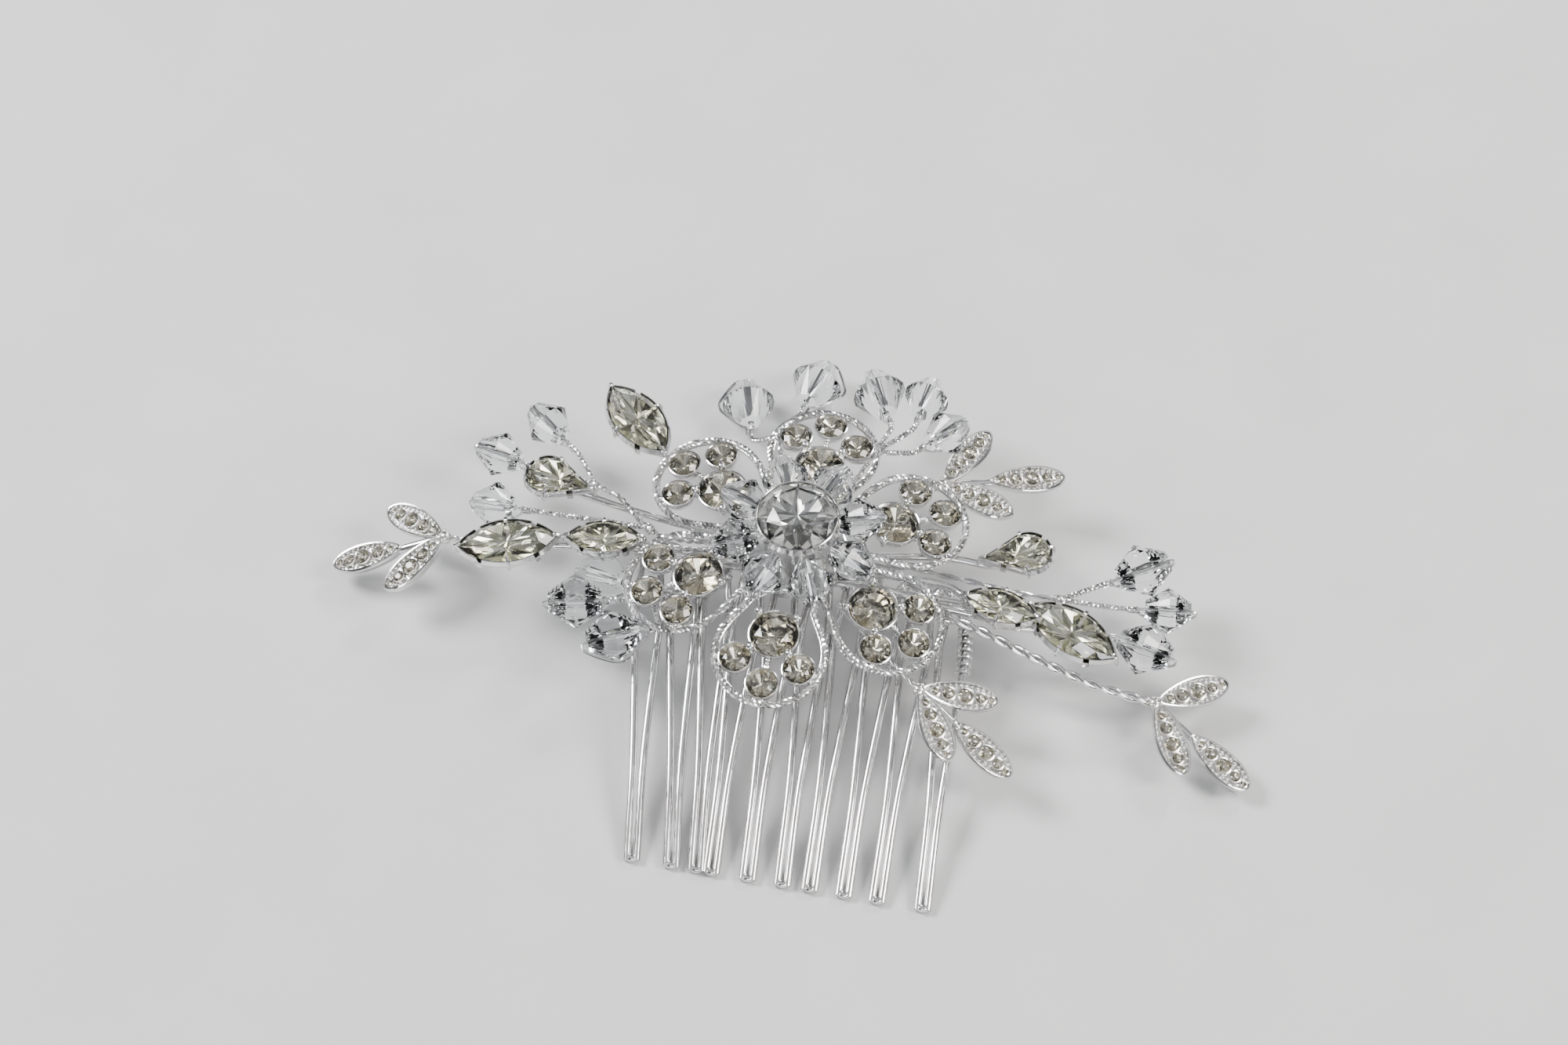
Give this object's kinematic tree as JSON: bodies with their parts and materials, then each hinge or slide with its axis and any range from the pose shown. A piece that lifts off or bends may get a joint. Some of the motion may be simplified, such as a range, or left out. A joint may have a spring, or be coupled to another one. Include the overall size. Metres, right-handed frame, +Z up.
{
  "type": "decorative hair comb",
  "caption": "Wired bridal hair comb: wire teeth on a lashed rail, a domed stone-set flower with a crystal centre, and sprays of bicone crystals, set stones and leaf sprigs.",
  "frame": {"origin": "centre of the underside of the whole comb's box, level with the tips of the teeth as the comb lies face up on a table", "axes": "+X along the spray from its left end to its right end as seen with the teeth towards the viewer, +Z up out of the flower's face, teeth pointing towards -Y"},
  "size_m": [0.116, 0.0804, 0.0212],
  "materials": {
    "silver_plate": "bright rhodium-coloured plating on cast settings",
    "silver_wire": "bright silver-plated craft wire",
    "clear_crystal": "clear cut glass crystal",
    "foiled_rhinestone": "faceted glass with a silver foil back"
  },
  "bodies": {
    "comb": {"bead_spider": "silver_wire", "centre_bead_1": "clear_crystal", "centre_bead_2": "clear_crystal", "centre_bead_3": "clear_crystal", "centre_bead_4": "clear_crystal", "centre_bead_5": "clear_crystal", "centre_bead_6": "clear_crystal", "centre_bead_7": "clear_crystal", "centre_bead_8": "clear_crystal", "centre_cup": "silver_plate", "centre_stone": "foiled_rhinestone", "comb_rail": "silver_wire", "comb_teeth": "silver_wire", "flower_base": "silver_plate", "lashing_wire": "silver_wire", "leaf_sprig_back": "silver_plate", "leaf_sprig_front": "silver_plate", "leaf_sprig_left": "silver_plate", "leaf_sprig_right": "silver_plate", "petal_1": "silver_plate", "petal_2": "silver_plate", "petal_3": "silver_plate", "petal_4": "silver_plate", "petal_5": "silver_plate", "petal_6": "silver_plate", "setting_back_left": "silver_plate", "setting_left": "silver_plate", "setting_left_drop": "silver_plate", "setting_right_drop": "silver_plate", "setting_right_inner": "silver_plate", "setting_right_outer": "silver_plate", "spray_wire_back": "silver_wire", "spray_wire_back_right": "silver_wire", "spray_wire_left_back": "silver_wire", "spray_wire_left_front": "silver_wire", "spray_wire_right": "silver_wire", "sprig_wire_front": "silver_wire", "sprig_wire_left": "silver_wire", "sprig_wire_right": "silver_wire", "stone_back_left": "foiled_rhinestone", "stone_left_drop": "foiled_rhinestone", "stone_left_inner": "foiled_rhinestone", "stone_left_outer": "foiled_rhinestone", "stone_right_drop": "foiled_rhinestone", "stone_right_inner": "foiled_rhinestone", "stone_right_outer": "foiled_rhinestone"},
    "bead_back_1": {"bead_back_1": "clear_crystal"},
    "bead_back_2": {"bead_back_2": "clear_crystal"},
    "bead_back_right_1": {"bead_back_right_1": "clear_crystal"},
    "bead_back_right_2": {"bead_back_right_2": "clear_crystal"},
    "bead_back_right_3": {"bead_back_right_3": "clear_crystal"},
    "bead_left_back_1": {"bead_left_back_1": "clear_crystal"},
    "bead_left_back_2": {"bead_left_back_2": "clear_crystal"},
    "bead_left_back_3": {"bead_left_back_3": "clear_crystal"},
    "bead_left_front_1": {"bead_left_front_1": "clear_crystal"},
    "bead_left_front_2": {"bead_left_front_2": "clear_crystal"},
    "bead_left_front_3": {"bead_left_front_3": "clear_crystal"},
    "bead_right_1": {"bead_right_1": "clear_crystal"},
    "bead_right_2": {"bead_right_2": "clear_crystal"},
    "bead_right_3": {"bead_right_3": "clear_crystal"}
  },
  "joints": [
    {"name": "bead_back_1_spin", "type": "hinge", "parent": "comb", "child": "bead_back_1", "pos_m": [-0.00456, 0.0333, 0.0035], "axis": [-0.1035, 0.9848, -0.1392], "continuous": true},
    {"name": "bead_back_2_spin", "type": "hinge", "parent": "comb", "child": "bead_back_2", "pos_m": [0.0045, 0.03646, 0.0035], "axis": [0.4028, 0.9047, -0.1392], "continuous": true},
    {"name": "bead_back_right_1_spin", "type": "hinge", "parent": "comb", "child": "bead_back_right_1", "pos_m": [0.01259, 0.03054, 0.00963], "axis": [-0.2396, 0.9609, -0.1392], "continuous": true},
    {"name": "bead_back_right_2_spin", "type": "hinge", "parent": "comb", "child": "bead_back_right_2", "pos_m": [0.01864, 0.02889, 0.0111], "axis": [0.3387, 0.9305, -0.1392], "continuous": true},
    {"name": "bead_back_right_3_spin", "type": "hinge", "parent": "comb", "child": "bead_back_right_3", "pos_m": [0.02111, 0.02302, 0.01166], "axis": [0.7803, 0.6097, -0.1392], "continuous": true},
    {"name": "bead_left_back_1_spin", "type": "hinge", "parent": "comb", "child": "bead_left_back_1", "pos_m": [-0.03661, 0.02204, 0.00828], "axis": [-0.9135, 0.4067, 0], "continuous": true},
    {"name": "bead_left_back_2_spin", "type": "hinge", "parent": "comb", "child": "bead_left_back_2", "pos_m": [-0.03049, 0.02682, 0.00828], "axis": [-0.6675, 0.7413, 0.0698], "continuous": true},
    {"name": "bead_left_back_3_spin", "type": "hinge", "parent": "comb", "child": "bead_left_back_3", "pos_m": [-0.03702, 0.01479, 0.00744], "axis": [-0.9303, 0.3023, -0.2079], "continuous": true},
    {"name": "bead_left_front_1_spin", "type": "hinge", "parent": "comb", "child": "bead_left_front_1", "pos_m": [-0.02621, -0.00017, 0.00807], "axis": [-0.9994, -0.0349, 0], "continuous": true},
    {"name": "bead_left_front_2_spin", "type": "hinge", "parent": "comb", "child": "bead_left_front_2", "pos_m": [-0.02312, 0.00509, 0.00555], "axis": [-0.8138, 0.4698, -0.342], "continuous": true},
    {"name": "bead_left_front_3_spin", "type": "hinge", "parent": "comb", "child": "bead_left_front_3", "pos_m": [-0.02132, -0.00554, 0.00842], "axis": [-0.9613, -0.2756, 0], "continuous": true},
    {"name": "bead_right_1_spin", "type": "hinge", "parent": "comb", "child": "bead_right_1", "pos_m": [0.04559, 0.00387, 0.00887], "axis": [0.9418, 0.306, 0.1392], "continuous": true},
    {"name": "bead_right_2_spin", "type": "hinge", "parent": "comb", "child": "bead_right_2", "pos_m": [0.04861, -0.00097, 0.00698], "axis": [0.9976, -0.0698, 0], "continuous": true},
    {"name": "bead_right_3_spin", "type": "hinge", "parent": "comb", "child": "bead_right_3", "pos_m": [0.04553, -0.00638, 0.0067], "axis": [0.9063, -0.4226, 0], "continuous": true}
  ]
}
